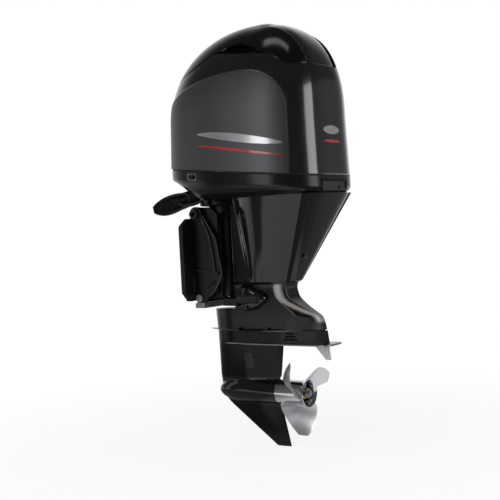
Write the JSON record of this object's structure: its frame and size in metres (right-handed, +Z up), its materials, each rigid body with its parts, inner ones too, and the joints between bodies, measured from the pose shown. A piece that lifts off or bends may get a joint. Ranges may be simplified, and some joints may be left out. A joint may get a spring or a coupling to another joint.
{
  "type": "outboard motor",
  "caption": "Black outboard motor with domed cowl, tapered leg, clamp brackets, power tilt, gearcase and polished propeller.",
  "frame": {"origin": "midway between the two upper transom bolt holes, on the clamp face", "axes": "+X aft, away from the transom; +Y to starboard; +Z up along the leg"},
  "size_m": [0.756, 0.47, 1.586],
  "materials": {
    "cowl_paint": "gloss",
    "gloss_trim": "gloss",
    "satin_black": "satin",
    "tray_paint": "satin",
    "black_plastic": "matte",
    "rubber": "matte",
    "steel": "brushed",
    "polished_steel": "polished",
    "zinc": "matte",
    "bronze": "satin",
    "cast_alloy": "satin",
    "dark_iron": "satin",
    "bush_plastic": "matte",
    "filter_paint": "gloss"
  },
  "bodies": {
    "transom_bracket": {"clamp_bracket_port": "satin_black", "clamp_bracket_starboard": "satin_black", "tilt_tube": "steel", "tilt_tube_nuts": "steel", "ptt_pin": "steel", "bracket_anode": "zinc"},
    "swivel": {"swivel_bracket": "satin_black", "swivel_bushes": "bush_plastic"},
    "ram": {"ptt_cylinder": "satin_black", "ptt_motor": "satin_black", "ptt_reservoir": "black_plastic"},
    "ram_rod": {"tilt_rod": "polished_steel", "tilt_rod_pin": "steel"},
    "engine": {"pilot_shaft": "steel", "steering_yoke": "satin_black", "lower_yoke": "satin_black", "upper_mounts": "rubber", "lower_mounts": "rubber", "lower_mount_covers": "satin_black", "lower_mount_bolts": "steel", "upper_case": "satin_black", "exhaust_guide": "cast_alloy", "apron_port": "black_plastic", "apron_starboard": "black_plastic", "apron_rear": "black_plastic", "telltale": "black_plastic", "tray": "tray_paint", "cowl_seal": "rubber", "rigging_sleeve": "rubber", "rigging_cable": "rubber", "splash_plate": "satin_black", "gearcase": "satin_black", "inlet_screens": "black_plastic", "trim_tab": "zinc", "bearing_carrier": "cast_alloy", "pump_housing": "black_plastic", "cylinder_block": "cast_alloy", "crankcase": "cast_alloy", "cylinder_head": "cast_alloy", "intake_manifold": "black_plastic", "starter_motor": "dark_iron", "oil_filter": "filter_paint", "gearcase_screws": "steel"},
    "cowl": {"top_cowl": "cowl_paint", "cowl_cap": "gloss_trim"},
    "latch": {"cowl_latch": "black_plastic"},
    "switch": {"tilt_switch": "black_plastic"},
    "drive": {"drive_shaft": "steel", "pinion": "steel", "pump_impeller": "rubber", "crankshaft": "steel", "flywheel": "dark_iron"},
    "forward": {"forward_gear": "steel"},
    "reverse": {"reverse_gear": "steel"},
    "prop": {"prop_shaft": "steel", "propeller": "polished_steel", "thrust_washer": "bronze", "prop_nut": "steel"},
    "clutch": {"clutch_dog": "steel"},
    "shifter": {"shift_rod": "steel"}
  },
  "joints": [
    {"name": "tilt", "type": "hinge", "parent": "transom_bracket", "child": "swivel", "pos_m": [0.032, 0, 0.062], "axis": [0, -1, 0], "range_deg": [0, 66]},
    {"name": "ram_swing", "type": "hinge", "parent": "transom_bracket", "child": "ram", "pos_m": [0.032, 0, -0.262], "axis": [0, -1, 0], "range_deg": [-14, 0]},
    {"name": "ram_stroke", "type": "slide", "parent": "ram", "child": "ram_rod", "axis": [0, 0, 1], "range_m": [0, 0.043]},
    {"name": "steer", "type": "hinge", "parent": "swivel", "child": "engine", "pos_m": [0.095, 0, 0], "axis": [0, 0, 1], "range_deg": [-30, 30]},
    {"name": "cowl_lift", "type": "slide", "parent": "engine", "child": "cowl", "axis": [0, 0, 1], "range_m": [0, 0.45]},
    {"name": "latch_pull", "type": "hinge", "parent": "engine", "child": "latch", "pos_m": [0.586, 0, 0.148], "axis": [0, -1, 0], "range_deg": [0, 35]},
    {"name": "switch_rock", "type": "hinge", "parent": "engine", "child": "switch", "pos_m": [0.10009, -0.20754, 0.19889], "axis": [0.5878, -0.809, 0], "range_deg": [-8, 8], "stiffness_Nm_per_rad": 0.4},
    {"name": "drive_spin", "type": "hinge", "parent": "engine", "child": "drive", "pos_m": [0.19, 0, 0], "axis": [0, 0, 1], "continuous": true},
    {"name": "forward_spin", "type": "hinge", "parent": "engine", "child": "forward", "pos_m": [0.19, 0, -0.625], "axis": [1, 0, 0], "continuous": true},
    {"name": "reverse_spin", "type": "hinge", "parent": "engine", "child": "reverse", "pos_m": [0.19, 0, -0.625], "axis": [1, 0, 0], "continuous": true},
    {"name": "prop_spin", "type": "hinge", "parent": "engine", "child": "prop", "pos_m": [0.19, 0, -0.625], "axis": [1, 0, 0], "continuous": true},
    {"name": "shift_turn", "type": "hinge", "parent": "engine", "child": "shifter", "pos_m": [0.148, 0, 0], "axis": [0, 0, 1], "range_deg": [-19, 19]},
    {"name": "clutch_slide", "type": "slide", "parent": "prop", "child": "clutch", "axis": [1, 0, 0], "range_m": [-0.0032, 0.0032]}
  ],
  "couplings": [
    {"joint": "ram_swing", "follows": "tilt", "ratio": -0.19},
    {"joint": "ram_stroke", "follows": "tilt", "m_per_rad": 0.0352},
    {"joint": "forward_spin", "follows": "drive_spin", "ratio": 0.46429},
    {"joint": "reverse_spin", "follows": "drive_spin", "ratio": -0.46429},
    {"joint": "shift_turn", "follows": "clutch_slide", "rad_per_m": 98}
  ]
}
